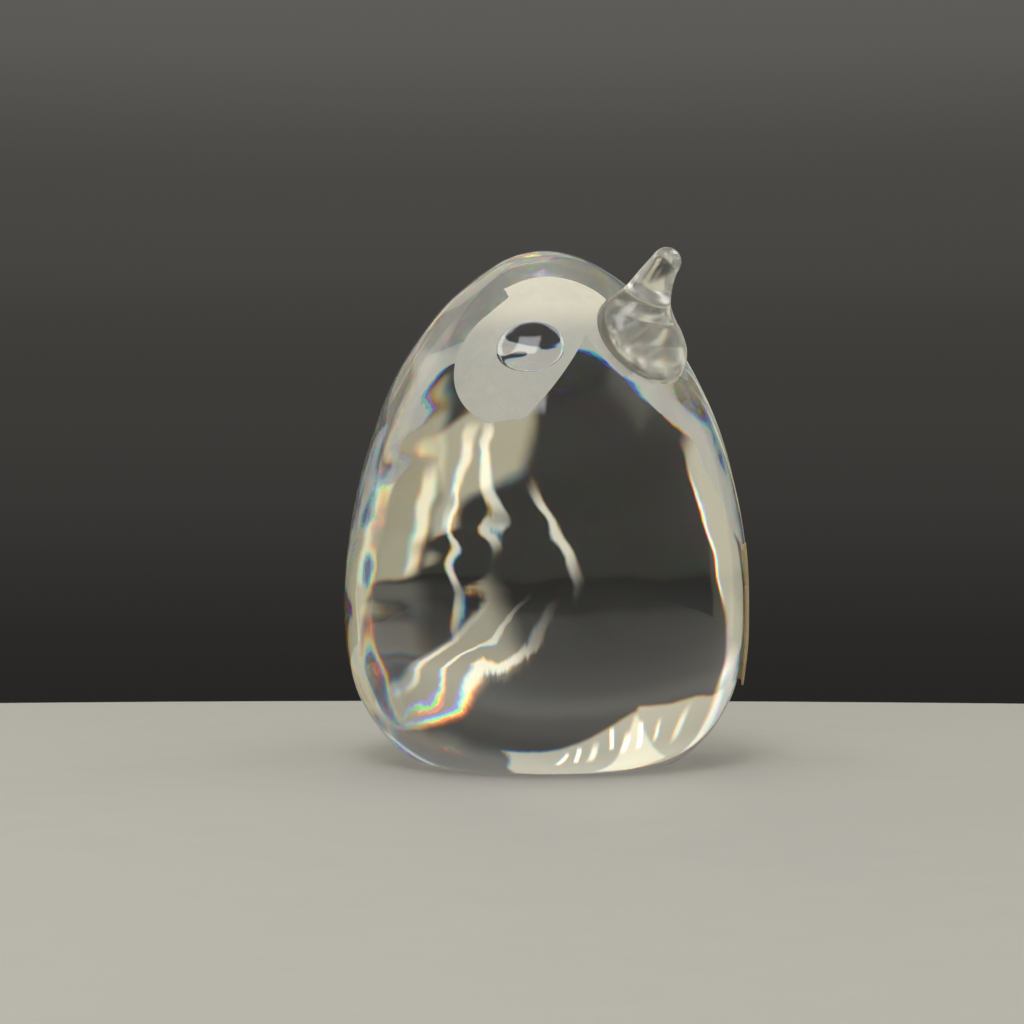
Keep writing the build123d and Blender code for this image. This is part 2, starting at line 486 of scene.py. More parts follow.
def egg_tree():
    """Geometry node tree that turns the egg's outline and ripples it."""
    tree = bpy.data.node_groups.new("turned_egg", "GeometryNodeTree")
    sockets(tree, "INPUT", "Float", *EGG_INPUTS, "Beak Radius")
    sockets(tree, "INPUT", "Int", "Seed")
    sockets(tree, "INPUT", "Vector", "Beak Seat")
    sockets(tree, "INPUT", "Material", "Material")
    sockets(tree, "OUTPUT", "Geometry", "Geometry")
    given = tree.nodes.new("NodeGroupInput").outputs
    cubic = curve_group()
    operations = ("ADD", "SUBTRACT", "MULTIPLY", "DIVIDE", "MULTIPLY_ADD")
    plus, minus, times, over, times_plus = (partial(math, tree, operation) for operation in operations)
    joined, apart = (partial(vector_math, tree, operation) for operation in ("ADD", "SUBTRACT"))
    at_section = partial(section, tree)

    def curve(points, at):
        ins = dict(zip(CURVE_POINTS, points), At=at)
        return put(tree, "GeometryNodeGroup", ins, node_tree=cubic).outputs[0]

    radius, girth, top, foot = (given[n] for n in ("Girth Radius", "Girth Height", "Height", "Foot Radius"))
    fall = minus(radius, foot)
    flank = times_plus(minus(top, girth), given["Flank"], girth)
    widest = at_section(radius, girth)
    upper = (
        widest,
        at_section(radius, flank),
        at_section(times(radius, given["Crown"]), top),
        at_section(0.0, top),
    )
    spread = times_plus(fall, given["Heel Spread"], foot)
    corner = at_section(foot, 0.0)
    heel = at_section(spread, times(given["Heel Lift"], girth))
    drawn_in = times(minus(1.0, given["Belly"]), girth)
    lower = (corner, heel, at_section(radius, drawn_in), widest)

    ins = {"Size X": 1.0, "Size Y": 1.0, "Vertices X": SIDES + 1, "Vertices Y": sum(ROWS) + 1}
    grid = put(tree, "GeometryNodeMeshGrid", ins)
    place = put(tree, "ShaderNodeSeparateXYZ", {0: tree.nodes.new("GeometryNodeInputPosition").outputs[0]})
    angle = times(plus(place.outputs[0], 0.5), 2 * pi)
    row = times(plus(place.outputs[1], 0.5), float(sum(ROWS)))
    starts = np.cumsum((0,) + ROWS)
    flat_at, heel_at, belly_at, flank_at = (
        remap(tree, row, float(low), float(high)) for low, high in zip(starts, starts[1:])
    )
    flat_end = at_section(minus(foot, given["Heel Round"]), 0.0)
    flat = between(tree, flat_at, (0.0, 0.0, 0.0), flat_end)
    reach = times(vector_math(tree, "DISTANCE", corner, heel, 1), 3.0)
    heel_share = over(given["Heel Round"], reach)
    heel_end = curve(lower, heel_share)
    handles = [between(tree, 2 / 3, end, corner) for end in (flat_end, heel_end)]
    rounding = (flat_end, *handles, heel_end)
    heel_run = apart(curve(rounding, heel_at), flat_end)
    rest = minus(1.0, heel_share)
    belly_share = times_plus(belly_at, rest, heel_share)
    belly_run = apart(curve(lower, belly_share), heel_end)
    flank_run = apart(curve(upper, flank_at), widest)
    low_run = joined(flat, heel_run)
    high_run = joined(belly_run, flank_run)
    outline = joined(low_run, high_run)
    turned = put(tree, "ShaderNodeVectorRotate", {"Vector": outline, "Angle": angle}, rotation_type="Z_AXIS")
    egg = put(tree, "GeometryNodeSetPosition", {"Geometry": grid.outputs[0], "Position": turned.outputs[0]})
    egg = put(tree, "GeometryNodeMergeByDistance", {"Geometry": egg.outputs[0], "Distance": 1e-6})

    here = tree.nodes.new("GeometryNodeInputPosition").outputs[0]

    def wave(size, detail):
        ins = {"Vector": here, "W": given["Seed"], "Scale": over(1.0, size), "Detail": detail}
        noise = put(tree, "ShaderNodeTexNoise", {**ins, "Roughness": 0.4}, noise_dimensions="4D")
        return times(minus(noise.outputs[0], 0.5), 2.0)

    side = {"Vector": here, "Angle": given["Wavy Side"]}
    side = put(tree, "ShaderNodeVectorRotate", side, rotation_type="Z_AXIS").outputs[0]
    toward = over(put(tree, "ShaderNodeSeparateXYZ", {0: side}).outputs[1], radius)
    wavy = remap(tree, toward, *MARKED_SIDE, True)
    broad_share = {0: remap(tree, toward, *RIPPLED_SIDE, True), 3: given["Calm"]}
    broad_share = put(tree, "ShaderNodeMapRange", broad_share).outputs[0]
    broad_depth = times(given["Ripple"], broad_share)
    broad = times(wave(given["Ripple Size"], 1.0), broad_depth)
    fine_depth = times(given["Marks"], wavy)
    fine = times(wave(given["Mark Size"], 0.5), fine_depth)
    upright = put(tree, "ShaderNodeSeparateXYZ", {0: here}).outputs[2]
    lift = remap(tree, upright, *STILL_FOOT, True)
    seat = vector_math(tree, "DISTANCE", here, given["Beak Seat"], 1)
    near, far = (times(given["Beak Radius"], part) for part in STILL_SEAT)
    still = times(lift, remap(tree, seat, near, far, True))
    depth = times(plus(broad, fine), still)
    facing = tree.nodes.new("GeometryNodeInputNormal").outputs[0]
    outward = put(tree, "ShaderNodeVectorMath", {0: facing, "Scale": depth}, operation="SCALE")
    egg = put(tree, "GeometryNodeSetPosition", {"Geometry": egg.outputs[0], "Offset": outward.outputs[0]})
    egg = put(tree, "GeometryNodeSetShadeSmooth", {"Geometry": egg.outputs[0]})
    egg = put(tree, "GeometryNodeRealizeInstances", {"Geometry": egg.outputs[0]})
    egg = put(tree, "GeometryNodeSetMaterial", {"Geometry": egg.outputs[0], "Material": given["Material"]})
    put(tree, "NodeGroupOutput", {"Geometry": egg.outputs[0]})
    return tree


def grown_mesh(tree, values):
    """Plain mesh that a geometry node tree makes from named values."""
    carrier = bpy.data.objects.new("carrier", bpy.data.meshes.new("carrier"))
    bpy.context.scene.collection.objects.link(carrier)
    modifier = carrier.modifiers.new("grown", "NODES")
    modifier.node_group = tree
    identifiers = {s.name: s.identifier for s in tree.interface.items_tree if s.in_out == "INPUT"}
    for name, value in values.items():
        modifier[identifiers[name]] = value
    graph = bpy.context.evaluated_depsgraph_get()
    mesh = bpy.data.meshes.new_from_object(carrier.evaluated_get(graph))
    empty = carrier.data
    bpy.data.objects.remove(carrier)
    bpy.data.meshes.remove(empty)
    return mesh


# The worked skin of the egg.


# Places nearer than this to a marked line are taken to lie on it.
ON_LINE = 4e-6

# Extra lines of faces inside each eye's rim, by their depth in the wheel, and how far under the
# plane that touches the head an eye can reach.
RIM_LINES = (0.00012, 0.0003, 0.0006, 0.001)
EYE_REACH = 0.01


def mark_line(bm, field):
    """Splits faces along the line on the skin where a field is zero."""
    bm.verts.index_update()
    places = np.array([v.co[:] for v in bm.verts])
    value = field(places)
    value[np.abs(value) < ON_LINE] = 0.0
    edges = list(bm.edges)
    ends = np.array([(e.verts[0].index, e.verts[1].index) for e in edges])
    crossing = np.nonzero(value[ends[:, 0]] * value[ends[:, 1]] < 0)[0]
    first, last = places[ends[crossing, 0]], places[ends[crossing, 1]]
    sign = np.sign(value[ends[crossing, 0]])

    def same_side(at):
        return np.sign(field(first + at[:, None] * (last - first))) == sign

    split_at = halved(same_side, np.zeros(len(crossing)), np.ones(len(crossing)))
    line = [v for v, on in zip(bm.verts, value == 0) if on]
    for index, at in zip(crossing, split_at):
        edge = edges[index]
        line.append(bmesh.utils.edge_split(edge, edge.verts[0], float(at))[1])
    bmesh.ops.connect_verts(bm, verts=line)


def egg_skin(scene):
    """The rippled egg as an open mesh, and the layer that keeps its smooth normals."""
    body, beak = scene.penguin_body, scene.penguin_beak
    seat, _ = touching_frame(body, 0.0, beak.place)
    values = {label: getattr(body, name) for label, name in EGG_INPUTS.items()}
    values.update({"Seed": body.seed, "Beak Seat": seat, "Beak Radius": beak.pad_radius})
    mesh = grown_mesh(egg_tree(), values)
    bm = bmesh.new()
    bm.from_mesh(mesh)
    bpy.data.meshes.remove(mesh)
    bmesh.ops.recalc_face_normals(bm, faces=bm.faces)
    bm.normal_update()
    kept = bm.verts.layers.float_vector.new("skin_normal")
    for v in bm.verts:
        v[kept] = v.normal
    return bm, kept


def grind_eyes(scene, skin):
    """Sinks the skin into both eyes' dishes, with a rounded rim."""
    rim = scene.penguin_face.eye_rim
    placing = eye_frame(scene)
    axis = placing[1][2]
    skin.dish_normals = np.zeros_like(skin.places)
    for flip in (np.ones(3), MIRROR):
        places = skin.places * flip
        near = in_frame(placing, places)[:, 2] > -EYE_REACH
        inside = (wheel_field(scene, places) < 1e-7) & near
        top = places[inside]
        drop = np.maximum(-dish_depth(scene, top), 0)[:, None]
        dish = -gradient(lambda p: wheel_field(scene, p), top - drop * axis)
        around = skin.normals[inside] * flip
        sunk = drop**2 / (drop + rim)
        part = (drop**2 + 2 * drop * rim) / (drop + rim) ** 2
        lean = (1 - part) * around / (around @ axis)[:, None] + part * dish / (dish @ axis)[:, None]
        skin.places[inside] = (top - sunk * axis) * flip
        skin.dish_normals[inside] = lean / np.linalg.norm(lean, axis=1, keepdims=True) * flip


def worked_skin(scene):
    """The egg's places, normals and faces, with the zone of each face and the normals in the eyes."""
    bm, kept = egg_skin(scene)
    fields = {
        "eye_right": lambda p: wheel_field(scene, p),
        "eye_left": lambda p: wheel_field(scene, p * MIRROR),
        "frost_right": lambda p: face_field(scene, p),
        "frost_left": lambda p: face_field(scene, p * MIRROR),
        "seat": lambda p: beak_field(scene, p),
    }
    for field in fields.values():
        mark_line(bm, field)
    for name in ("eye_right", "eye_left"):
        for depth in RIM_LINES:
            mark_line(bm, lambda p: fields[name](p) + depth)

    skin = SimpleNamespace()
    bm.verts.index_update()
    skin.places = np.array([v.co[:] for v in bm.verts])
    skin.normals = np.array([v[kept][:] for v in bm.verts])
    skin.normals /= np.linalg.norm(skin.normals, axis=1, keepdims=True)
    skin.faces = [[v.index for v in f.verts] for f in bm.faces]
    middles = np.array([f.calc_center_median()[:] for f in bm.faces])
    bm.free()
    found = {name: field(middles) < 0 for name, field in fields.items()}
    skin.zones = np.full(len(skin.faces), CLEAR)
    skin.zones[found["frost_right"]] = FROST_RIGHT
    skin.zones[found["frost_left"]] = FROST_LEFT
    skin.zones[found["eye_right"] | found["eye_left"]] = EYE
    skin.zones[found["seat"]] = SEAT
    grind_eyes(scene, skin)
    return skin


def piece_object(name, places, faces, materials, slots=0, smooth=True, normals=None):
    """A new piece; slots and smooth hold for all faces or face by face, and normals go by corner."""
    mesh = bpy.data.meshes.new(name)
    mesh.from_pydata(places, [], faces)
    for material in materials:
        mesh.materials.append(material)
    mesh.polygons.foreach_set("material_index", np.full(len(faces), slots, np.int32))
    mesh.polygons.foreach_set("use_smooth", np.full(len(faces), smooth, bool))
    if mesh.validate():
        raise RuntimeError(f"{name}: the mesh is not sound")
    if normals is not None:
        mesh.normals_split_custom_set(np.asarray(normals, float).tolist())
    mesh.update()
    made = bpy.data.objects.new(name, mesh)
    bpy.context.scene.collection.objects.link(made)
    return made


def fan_faces(sides, loops):
    """Faces between a middle place and the loops of places round it, sector by sector."""
    faces = []
    for a in range(sides):
        b = (a + 1) % sides
        faces.append([0, 1 + a, 1 + b])
        for at in range(1, 1 + (loops - 1) * sides, sides):
            faces.append([at + a, at + sides + a, at + sides + b, at + b])
    return faces


def flat_normal(corners):
    """Unit normal of a face."""
    edge = np.cross(corners[1] - corners[0], corners[2] - corners[0])
    return edge / max(np.linalg.norm(edge), 1e-15)


def rim_edges(faces):
    """Edges at the border of a set of faces, in the order in which its faces go round."""
    seen = {}
    for corners in faces:
        for a, b in zip(corners, corners[1:] + corners[:1]):
            seen[(a, b)] = True
    return [edge for edge in seen if edge[::-1] not in seen]


def faces_in(skin, *zones):
    """Faces of the skin that lie in some zones."""
    return [corners for corners, zone in zip(skin.faces, skin.zones) if zone in zones]


def sunk_copy(skin, zones, depth):
    """Places under some zones of the skin, and the number that each of its places has there."""
    used = sorted({corner for corners in faces_in(skin, *zones) for corner in corners})
    below = skin.places[used] - depth * skin.normals[used]
    return below, {corner: index for index, corner in enumerate(used)}


def body_piece(scene, skin, materials):
    """The crystal egg with its recesses for the frosted skin; recess and beak seat are clear joins."""
    frosted = (FROST_RIGHT, FROST_LEFT)
    below, number = sunk_copy(skin, frosted, scene.penguin_face.frost_depth)
    places = np.vstack((skin.places, below))
    first = len(skin.places)
    faces, normals, slots = [], [], []
    for corners, zone in zip(skin.faces, skin.zones):
        source = skin.dish_normals if zone == EYE else skin.normals
        normals += [source[c] for c in corners]
        faces.append([first + number[c] for c in corners] if zone in frosted else corners)
        slots.append(1 if zone in frosted or zone == SEAT else 0)
    for zone in frosted:
        for a, b in rim_edges(faces_in(skin, zone)):
            wall = [a, b, first + number[b], first + number[a]]
            faces.append(wall)
            normals += [flat_normal(places[wall])] * 4
            slots.append(1)
    used = sorted({c for corners in faces for c in corners})
    again = {c: index for index, c in enumerate(used)}
    faces = [[again[c] for c in corners] for corners in faces]
    return piece_object("crystal_body", places[used], faces, materials, slots, normals=normals)


def frost_piece(scene, skin, zone, name, materials):
    """One half of the frosted face: its matt skin, closed by clear joins to the egg."""
    outer = faces_in(skin, zone)
    below, number = sunk_copy(skin, (zone,), scene.penguin_face.frost_depth)
    used = list(number)
    places = np.vstack((skin.places[used], below))
    count = len(used)
    faces = [[number[c] for c in corners] for corners in outer]
    normals = [skin.normals[c] for corners in outer for c in corners]
    slots = [0] * len(outer)
    for corners in outer:
        faces.append([count + number[c] for c in reversed(corners)])
        normals += [-skin.normals[c] for c in reversed(corners)]
    for a, b in rim_edges(outer):
        wall = [number[b], number[a], count + number[a], count + number[b]]
        faces.append(wall)
        normals += [flat_normal(places[wall])] * 4
    slots += [1] * (len(faces) - len(outer))
    return piece_object(name, places, faces, materials, slots, normals=normals)


# The beak.

BEAK_SIDES = 128
BEAK_RINGS = 110
CAP_RINGS = 12

# The beak's surface is found along rays from its heart, which lies this high above the seat. Rays
# reach this far, and the head's line is looked for between these leans from the tip's direction.
HEART_HEIGHT = 0.0012
RAY_REACH = 0.03
LEAN_LIMITS = (0.3, 0.95 * pi)

# Rays in each line from the tip down to the head, and how closely they crowd at the tip.
LINE_RAYS = 700
TIP_CROWDING = 1.6


def beak_surface(scene, directions, heart):
    """Places where rays from the beak's heart leave pad and horn."""
    size = directions.shape[:-1]

    def inside(run):
        return beak_field(scene, heart + run[..., None] * directions) < 0

    run = halved(inside, np.zeros(size), np.full(size, RAY_REACH))
    return heart + run[..., None] * directions


def beak_piece(scene, materials):
    """Pad and horn as one smooth surface down to the head, closed by a clear join."""
    body, beak = scene.penguin_body, scene.penguin_beak
    origin, axes = touching_frame(body, 0.0, beak.place)
    heart = origin + HEART_HEIGHT * axes[2]
    out, up = np.array(HORN_SPINE[2]) * beak.horn_rise
    axis = origin + np.array((0.0, -out, up)) - heart
    axis /= np.linalg.norm(axis)
    side = np.array((1.0, 0.0, 0.0))
    front = np.cross(side, axis)
    round_at = np.linspace(0, 2 * pi, BEAK_SIDES, endpoint=False)
    radial = np.cos(round_at)[:, None] * side + np.sin(round_at)[:, None] * front

    def meridian(lean):
        direction = np.cos(lean)[..., None] * axis + np.sin(lean)[..., None] * radial[:, None, :]
        return beak_surface(scene, direction, heart)

    limits = [np.full((BEAK_SIDES, 1), limit) for limit in LEAN_LIMITS]
    widest = halved(lambda lean: beyond_egg(body, meridian(lean)) > 0, *limits)
    lines = meridian(widest * np.linspace(0, 1, LINE_RAYS) ** TIP_CROWDING)
    steps = np.linalg.norm(np.diff(lines, axis=1), axis=2)
    run = np.concatenate((np.zeros((BEAK_SIDES, 1)), np.cumsum(steps, axis=1)), axis=1)
    shares = np.linspace(0, 1, BEAK_RINGS)
    rings = np.array([
        np.stack([np.interp(shares * along[-1], along, line[:, k]) for k in range(3)], axis=1)
        for along, line in zip(run, lines)
    ])

    def field(places):
        return beak_field(scene, places)

    for _ in range(3):
        rings[:, :-1] -= field(rings[:, :-1])[..., None] * gradient(field, rings[:, :-1])
    rim = rings[:, -1]
    centre = rim.mean(axis=0)
    cap = []
    for ring in range(1, CAP_RINGS):
        places = rim + (centre - rim) * ring / CAP_RINGS
        level = np.hypot(places[:, 0], places[:, 1])
        places[:, :2] *= (radius_at(body, places[:, 2]) / level)[:, None]
        cap.append(places)
    middle = centre.copy()
    middle[:2] *= radius_at(body, centre[2]) / np.hypot(*centre[:2])

    tip = rings[:, 0].mean(axis=0)
    loops = [rings[:, ring] for ring in range(1, BEAK_RINGS)] + cap
    places = np.vstack([tip[None]] + loops + [middle[None]])
    outer = gradient(field, places)
    faces = fan_faces(BEAK_SIDES, len(loops))
    slots = ([0] * (BEAK_RINGS - 1) + [1] * (CAP_RINGS - 1)) * BEAK_SIDES
    last = len(places) - 1
    start = last - BEAK_SIDES
    faces += [[start + a, last, start + (a + 1) % BEAK_SIDES] for a in range(BEAK_SIDES)]
    slots += [1] * BEAK_SIDES
    sample = faces[BEAK_RINGS // 2]
    if np.dot(flat_normal(places[sample]), outer[sample[0]]) < 0:
        faces = [corners[::-1] for corners in faces]
    normals = []
    for corners, join in zip(faces, slots):
        normals += [flat_normal(places[corners])] * len(corners) if join else [outer[c] for c in corners]
    return piece_object("crystal_beak", places, faces, materials, slots, normals=normals)


# The sticker.

# Places round its outline and loops of them from its middle, which crowd toward the edge.
STICKER_SIDES = 360
STICKER_RINGS = 36
EDGE_CROWDING = 0.8
CORNER_POINTS = 9

# Worn edge: how many waves run round it, and the places, in radians round it, and width of its nicks.
EDGE_WAVES = (7, 13, 19, 29, 41)
NICKS = (0.42, 1.9, 2.75, 4.6, 5.9)
NICK_WIDTH = 0.025

# Grime begins at this share of the way to the edge.
GRIME_FROM = 0.86

# Glue between glass and paper, depth of the cockles where the paper is loose, the height over which
# it comes loose under the girth, and waves per metre across and upward.
GLUE = 0.00004
COCKLE = 0.00009
LOOSE_RUN = 0.014
COCKLE_WAVES = (700, 420)


def sticker_outline(paper):
    """Rounded outline of the paper, with the small nicks of a worn edge."""
    half = np.array((paper.width / 2, paper.height / 2))
    runs = []
    for x, y, start in ((1, 1, 0), (-1, 1, 90), (-1, -1, 180), (1, -1, 270)):
        middle = (half - paper.corner) * (x, y)
        bend = np.radians(np.linspace(start, start + 90, CORNER_POINTS))
        runs.append(middle + paper.corner * np.stack((np.cos(bend), np.sin(bend)), axis=1))
    closed = np.vstack((*runs, runs[0][:1]))
    run = np.concatenate(([0.0], np.cumsum(np.hypot(*np.diff(closed, axis=0).T))))
    at = np.linspace(0, run[-1], STICKER_SIDES, endpoint=False)
    outline = np.stack([np.interp(at, run, closed[:, k]) for k in range(2)], axis=1)
    turns = at / run[-1] * 2 * pi
    worn = sum(np.sin(k * turns + 1.7 * k * k) / k for k in EDGE_WAVES)
    nicks = sum(np.exp(-(((turns - place) / NICK_WIDTH) ** 2)) for place in NICKS)
    return outline * (1 - paper.wear * (0.10 * (1 + worn / 0.4) + nicks) / half.min())[:, None]


def sticker_piece(scene, materials):
    """Blank paper that follows the flank and stands off the belly below the girth."""
    body, paper = scene.penguin_body, scene.penguin_sticker
    origin, axes = touching_frame(body, paper.azimuth, 0.0)
    outline = sticker_outline(paper)
    count = len(outline)
    shares = np.linspace(0, 1, STICKER_RINGS + 1)[1:] ** EDGE_CROWDING
    sheet = np.vstack([np.zeros((1, 2))] + [outline * s for s in shares])
    grime = np.clip((shares - GRIME_FROM) / (1 - GRIME_FROM), 0, 1) ** 2
    edge = np.concatenate(([0.0], np.repeat(grime, count)))
    s, c = np.sin(paper.tilt), np.cos(paper.tilt)
    across = c * sheet[:, 0] - s * sheet[:, 1]
    height = origin[2] - paper.drop + s * sheet[:, 0] + c * sheet[:, 1]
    loose = np.clip((body.girth_height - height) / LOOSE_RUN, 0, 1)
    waves = np.sin(across * COCKLE_WAVES[0] + 1.1) * np.cos(height * COCKLE_WAVES[1])
    under = GLUE + COCKLE * loose * (1 + waves)

    def laid(away):
        level = radius_at(body, height, paper.clearance) + away
        outward = np.sqrt(level**2 - across**2)
        flat = across[:, None] * axes[0] + outward[:, None] * axes[2]
        return np.column_stack((flat[:, :2], height))

    places = np.vstack((laid(under + paper.thickness), laid(under)))
    size = len(sheet)
    front = fan_faces(count, STICKER_RINGS)
    back = [[size + corner for corner in reversed(corners)] for corners in front]
    faces = front + back
    smooth = [True] * len(faces) + [False] * count
    start = size - count
    for a in range(start, size):
        b = start + (a + 1 - start) % count
        faces.append([a, size + a, size + b, b])
    if flat_normal(places[faces[0]]) @ axes[2] < 0:
        faces = [corners[::-1] for corners in faces]
    made = piece_object("paper_sticker", places, faces, materials, smooth=smooth)
    wear = made.data.attributes.new("edge_wear", "FLOAT", "POINT")
    wear.data.foreach_set("value", np.tile(edge, 2))
    return made


# Finishes.

# Refractive index of the crystal for red, green and blue light.
BENDING = (1.527, 1.54, 1.555)
CRYSTAL_IOR = BENDING[1]

# Heights between which the frost's colour turns from painted shade lower on the face to painted light over
# the brow.
LIT_BROW_HEIGHTS = (0.0745, 0.0805)

# Distances from the figurine between which the floor's painted pool of light fades into painted shade, and
# the share of the colour that is left there.
LIGHT_POOL_FADE = (0.22, 0.85)
LIGHT_POOL_LEFT = 0.08


def shader_group(name, inputs, outputs):
    """A new shader node group with plain number sockets."""
    tree = bpy.data.node_groups.new(name, "ShaderNodeTree")
    for label, default in inputs.items():
        socket = tree.interface.new_socket(label, in_out="INPUT", socket_type="NodeSocketFloat")
        socket.default_value = default
    sockets(tree, "OUTPUT", "Float", *outputs)
    return tree, tree.nodes.new("NodeGroupInput").outputs


def object_place(tree, size, stretch=1.0):
    """Object coordinates counted in a size, drawn out upward by a stretch."""
    place = put(tree, "ShaderNodeSeparateXYZ", {0: tree.nodes.new("ShaderNodeTexCoord").outputs["Object"]})
    level = [math(tree, "DIVIDE", place.outputs[k], size) for k in range(2)]
    upward = math(tree, "DIVIDE", math(tree, "DIVIDE", place.outputs[2], size), stretch)
    return put(tree, "ShaderNodeCombineXYZ", {0: level[0], 1: level[1], 2: upward}).outputs[0]


def fine_grain():
    """Group: even grain such as blasting pits, paper fibres or drawn streaks in glass."""
    tree, given = shader_group("fine_grain", {"Size": 0.001, "Stretch": 1.0}, ("Mask", "Height"))
    place = object_place(tree, given["Size"], given["Stretch"])
    ins = {"Vector": place, "Scale": 1.0, "Detail": 3.0, "Roughness": 0.6}
    grain = put(tree, "ShaderNodeTexNoise", ins).outputs[0]
    put(tree, "NodeGroupOutput", {"Mask": remap(tree, grain, 0.36, 0.64), "Height": grain})
    return tree


def handling_film():
    """Group: uneven patches of film and age, from handling and standing."""
    tree, given = shader_group("handling_film", {"Size": 0.02, "Amount": 1.0}, ("Mask",))
    place = object_place(tree, given["Size"])
    broad = put(tree, "ShaderNodeTexNoise", {"Vector": place, "Scale": 1.0, "Detail": 2.0})
    broken = put(tree, "ShaderNodeTexNoise", {"Vector": place, "Scale": 5.0, "Detail": 4.0})
    patch = math(tree, "MULTIPLY", broad.outputs[0], broken.outputs[0])
    mask = math(tree, "MULTIPLY", remap(tree, patch, 0.16, 0.38, True), given["Amount"])
    put(tree, "NodeGroupOutput", {"Mask": mask})
    return tree


def group_in(tree, make, **inputs):
    """Outputs of a shared group, placed in a material with its own values."""
    group = bpy.data.node_groups.get(make.__name__) or make()
    ins = {name.title(): value for name, value in inputs.items()}
    return put(tree, "ShaderNodeGroup", ins, node_tree=group).outputs


def blended(tree, at, first, last):
    """Colour between two colours."""
    ends = [end if isinstance(end, bpy.types.NodeSocket) else (*end, 1) for end in (first, last)]
    return put(tree, "ShaderNodeMix", {0: at, 6: ends[0], 7: ends[1]}, data_type="RGBA").outputs[2]


def bumped(tree, height, strength, distance):
    """Normal of a surface with fine relief."""
    ins = {"Height": height, "Strength": strength, "Distance": distance}
    return put(tree, "ShaderNodeBump", ins).outputs[0]


def ranged(tree, value, low, high):
    """A mask spread from low to high."""
    return put(tree, "ShaderNodeMapRange", {0: value, 3: low, 4: high}).outputs[0]


def new_material(name):
    """A material with an empty node tree, its output and a Principled shader."""
    material = bpy.data.materials.new(name)
    material.use_nodes = True
    tree = material.node_tree
    tree.nodes.clear()
    shader = tree.nodes.new("ShaderNodeBsdfPrincipled")
    output = put(tree, "ShaderNodeOutputMaterial", {"Surface": shader.outputs[0]})
    return material, tree, shader, output


def crystal_material(name, colour, haze):
    """Clear hot-worked crystal that splits light into colours, under a thin uneven film."""
    material, tree, shader, output = new_material(name)
    film = group_in(tree, handling_film, size=0.021, amount=1.0)["Mask"]
    blur = ranged(tree, film, haze, haze + 0.022)
    streaks = group_in(tree, fine_grain, size=0.0042, stretch=3.5)["Height"]
    normal = bumped(tree, streaks, strength=0.05, distance=0.0004)
    surface = {"Roughness": blur, "Normal": normal}
    clear = {"Base Color": (*colour, 1), "IOR": CRYSTAL_IOR, "Transmission Weight": 1.0}
    feed(tree, shader, {**surface, **clear})
    bends = []
    for channel, bending in enumerate(BENDING):
        pure = [part if k == channel else 0.0 for k, part in enumerate(colour)]
        ins = {"Color": (*pure, 1), "IOR": bending, **surface}
        bends.append(put(tree, "ShaderNodeBsdfRefraction", ins).outputs[0])
    bend = put(tree, "ShaderNodeAddShader", {0: bends[0], 1: bends[1]})
    bend = put(tree, "ShaderNodeAddShader", {0: bend.outputs[0], 1: bends[2]})
    mirror = put(tree, "ShaderNodeBsdfGlossy", {"Color": (1, 1, 1, 1), **surface})
    fresnel = put(tree, "ShaderNodeFresnel", {"IOR": CRYSTAL_IOR, "Normal": normal})
    ins = {0: fresnel.outputs[0], 1: bend.outputs[0], 2: mirror.outputs[0]}
    entering = put(tree, "ShaderNodeMixShader", ins)
    inside = tree.nodes.new("ShaderNodeNewGeometry").outputs["Backfacing"]
    glass = put(tree, "ShaderNodeMixShader", {0: inside, 1: entering.outputs[0], 2: shader.outputs[0]})
    tree.links.new(glass.outputs[0], output.inputs[0])
    return material


def join_material(name):
    """Join inside the glass, where fused pieces have no surface between them."""
    material, tree, shader, _ = new_material(name)
    feed(tree, shader, {"Base Color": (1, 1, 1, 1), "Alpha": 0.0})
    return material


def frost_material(name, brow, cheek):
    """Sand-blasted crystal: pitted, matt and translucent, with painted light over the brow and painted shade
    lower on the face.
    """
    material, tree, shader, _ = new_material(name)
    place = put(tree, "ShaderNodeSeparateXYZ", {0: tree.nodes.new("ShaderNodeTexCoord").outputs["Object"]})
    film = group_in(tree, handling_film, size=0.008, amount=0.3)["Mask"]
    pits = group_in(tree, fine_grain, size=0.00032)
    # Painted light and shade: going up toward the brow, the colour turns from the shaded grey to the lit
    # cream.
    rise = remap(tree, place.outputs[2], *LIT_BROW_HEIGHTS, True)
    rise = put(tree, "ShaderNodeMix", {0: film, 2: rise, 3: 0.45}).outputs[0]
    shade = blended(tree, rise, cheek, brow)
    pale = (0.95, 0.95, 0.93)
    ins = {
        "Base Color": blended(tree, ranged(tree, pits["Mask"], 0.0, 0.12), shade, pale),
        "Roughness": ranged(tree, pits["Mask"], 0.5, 0.72),
        "Normal": bumped(tree, pits["Height"], strength=0.3, distance=0.0001),
        "IOR": CRYSTAL_IOR,
        "Transmission Weight": 0.22,
    }
    feed(tree, shader, ins)
    return material


def paper_material(name, paper, stain):
    """Aged uncoated paper: fibres, stains, and a grimy worn edge."""
    material, tree, shader, _ = new_material(name)
    fibres = group_in(tree, fine_grain, size=0.0005, stretch=2.5)
    film = group_in(tree, handling_film, size=0.007, amount=0.7)["Mask"]
    edge = put(tree, "ShaderNodeAttribute", attribute_name="edge_wear").outputs["Fac"]
    worn = math(tree, "MULTIPLY", edge, ranged(tree, fibres["Mask"], 0.55, 1.0))
    shade = blended(tree, math(tree, "MAXIMUM", film, worn), paper, stain)
    light = [min(1.0, 1.35 * c) for c in paper]
    ins = {
        "Base Color": blended(tree, ranged(tree, fibres["Mask"], 0.0, 0.3), shade, light),
        "Roughness": ranged(tree, fibres["Mask"], 0.78, 0.95),
        "Normal": bumped(tree, fibres["Height"], strength=0.35, distance=0.0001),
    }
    feed(tree, shader, ins)
    return material


